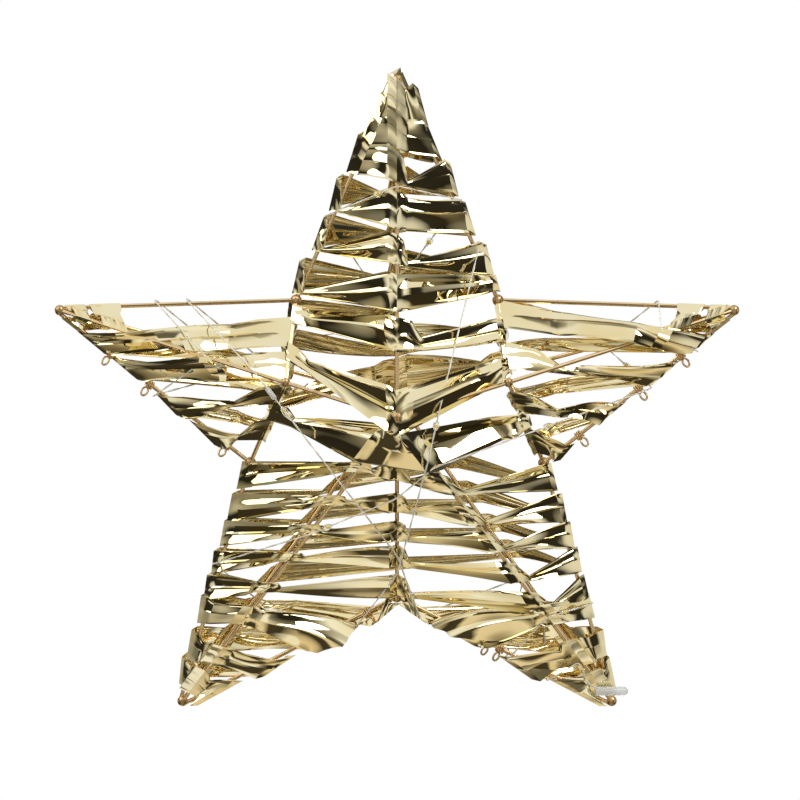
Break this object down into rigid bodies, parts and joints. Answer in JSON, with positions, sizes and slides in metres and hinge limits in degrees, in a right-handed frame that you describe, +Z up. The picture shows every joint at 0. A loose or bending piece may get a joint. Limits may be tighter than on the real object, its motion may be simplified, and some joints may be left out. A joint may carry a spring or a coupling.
{
  "type": "christmas tree topper star",
  "caption": "Five-pointed wire-frame star for the top of a tree, wound with mirror-bright gold film ribbon and a fine wire string of resin-bead lights.",
  "frame": {"origin": "the notch between the two legs, in the star's mid plane, where the tree's leader goes in", "axes": "+Z up towards the top tip, +X to the right as seen from the front, -Y towards the viewer"},
  "size_m": [0.2511, 0.0694, 0.2334],
  "materials": {
    "gold_wire": "gold lacquered wire",
    "ribbon_film": "metallised mirror film",
    "light_wire": "pale silvery enamel",
    "clear_resin": "clear resin",
    "clear_sleeve": "translucent"
  },
  "bodies": {
    "root": {"apex_weld_back": "gold_wire", "apex_weld_front": "gold_wire", "brace_left_back_lower": "gold_wire", "brace_left_back_upper": "gold_wire", "brace_left_front_lower": "gold_wire", "brace_left_front_upper": "gold_wire", "brace_right_back_lower": "gold_wire", "brace_right_back_upper": "gold_wire", "brace_right_front_lower": "gold_wire", "brace_right_front_upper": "gold_wire", "brace_welds": "gold_wire", "corner_welds": "gold_wire", "edge_left_leg_inner": "gold_wire", "edge_left_leg_outer": "gold_wire", "edge_left_lower": "gold_wire", "edge_left_upper": "gold_wire", "edge_right_leg_inner": "gold_wire", "edge_right_leg_outer": "gold_wire", "edge_right_lower": "gold_wire", "edge_right_upper": "gold_wire", "edge_top_left": "gold_wire", "edge_top_right": "gold_wire", "end_sleeve": "clear_sleeve", "eye_left_inner": "gold_wire", "eye_left_leg": "gold_wire", "eye_left_middle": "gold_wire", "eye_left_outer": "gold_wire", "eye_right_inner": "gold_wire", "eye_right_leg_inner": "gold_wire", "eye_right_leg_outer": "gold_wire", "eye_right_middle": "gold_wire", "eye_right_outer": "gold_wire", "light_beads": "clear_resin", "light_wire": "light_wire", "ribbon_left_arm": "ribbon_film", "ribbon_left_leg": "ribbon_film", "ribbon_left_tip": "ribbon_film", "ribbon_right_arm": "ribbon_film", "ribbon_right_leg": "ribbon_film", "ribbon_right_tip": "ribbon_film", "ribbon_shoulders": "ribbon_film", "ribbon_top_arm": "ribbon_film", "ribbon_waist": "ribbon_film", "ridge_back_left": "gold_wire", "ridge_back_left_leg": "gold_wire", "ridge_back_right": "gold_wire", "ridge_back_right_leg": "gold_wire", "ridge_back_top": "gold_wire", "ridge_front_left": "gold_wire", "ridge_front_left_leg": "gold_wire", "ridge_front_right": "gold_wire", "ridge_front_right_leg": "gold_wire", "ridge_front_top": "gold_wire", "spine_back": "gold_wire", "spine_front": "gold_wire", "splice_sleeve": "clear_sleeve", "tip_welds": "gold_wire"}
  },
  "joints": []
}
